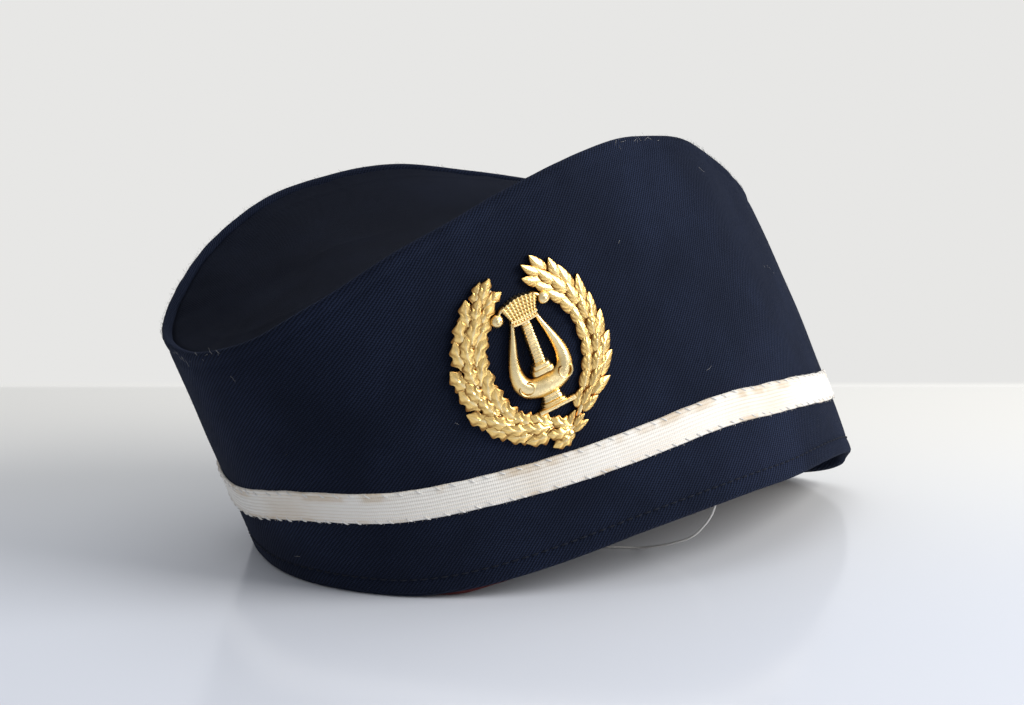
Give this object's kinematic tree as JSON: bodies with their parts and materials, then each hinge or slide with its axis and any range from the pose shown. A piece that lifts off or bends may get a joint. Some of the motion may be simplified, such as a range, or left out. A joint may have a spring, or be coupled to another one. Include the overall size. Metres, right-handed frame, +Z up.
{
  "type": "band cap",
  "caption": "Low-backed, high-fronted kepi-style cloth cap with an inset crown, a ribbon band and a pierced lyre-and-wreath badge on its side, standing on its hem.",
  "frame": {"origin": "bottom centre of the whole cap's box, on the surface that it stands on", "axes": "+Z up, the front seam towards -Y, the wearer's right side with the badge towards -X"},
  "size_m": [0.1352, 0.2308, 0.1283],
  "materials": {
    "navy_twill": "worn navy wool twill",
    "white_ribbon": "ribbed off-white ribbon, browned at the edges",
    "red_lining": "plain red cloth",
    "gilt_metal": "gilt cast brass"
  },
  "bodies": {
    "root": {"side_band": "navy_twill", "crown": "navy_twill", "ribbon": "white_ribbon", "lining": "red_lining", "badge": "gilt_metal"}
  },
  "joints": []
}
